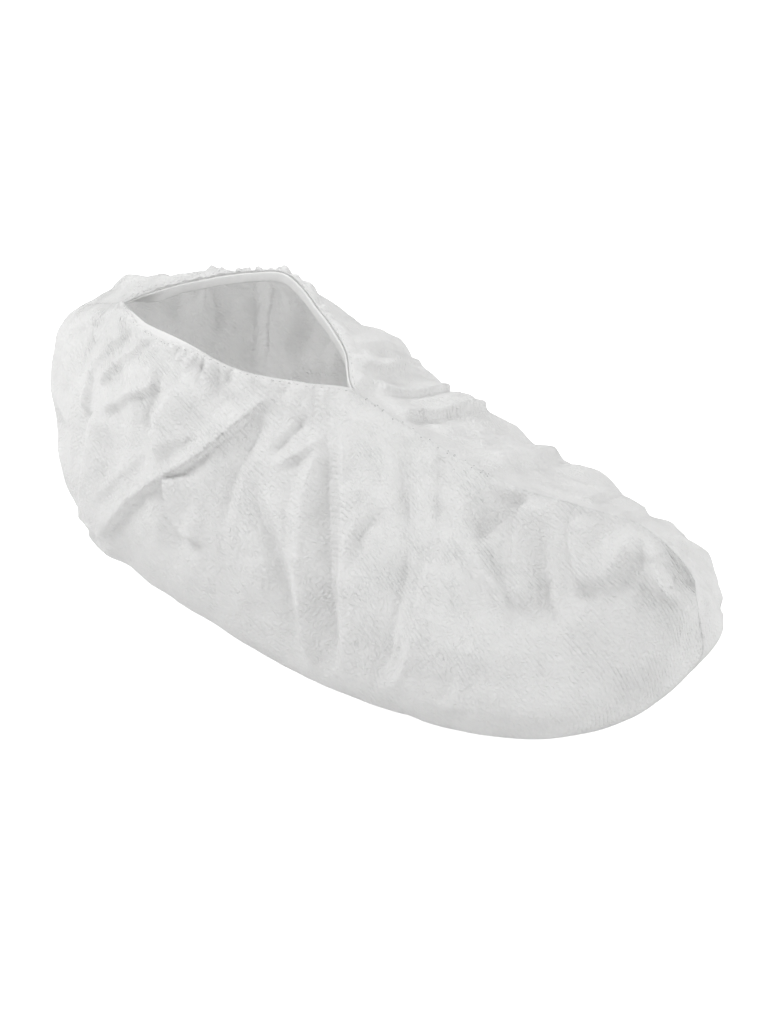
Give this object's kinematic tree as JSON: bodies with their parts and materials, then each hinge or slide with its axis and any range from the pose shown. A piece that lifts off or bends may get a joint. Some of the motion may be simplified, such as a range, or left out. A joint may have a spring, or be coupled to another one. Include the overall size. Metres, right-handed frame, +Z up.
{
  "type": "microporous shoe cover",
  "caption": "Disposable shoe cover of thin white laminate, in the form of a worn one: two sewn side panels and an elastic band round the ankle opening.",
  "frame": {"origin": "on the floor under the sole, at the middle of the cover's length and width", "axes": "+X from heel to toe, +Y to the wearer's left, +Z up"},
  "size_m": [0.3414, 0.158, 0.12],
  "materials": {
    "film": "satin",
    "elastic": "matt"
  },
  "bodies": {
    "root": {"right_panel": "film", "left_panel": "film", "ankle_band": "elastic"}
  },
  "joints": []
}
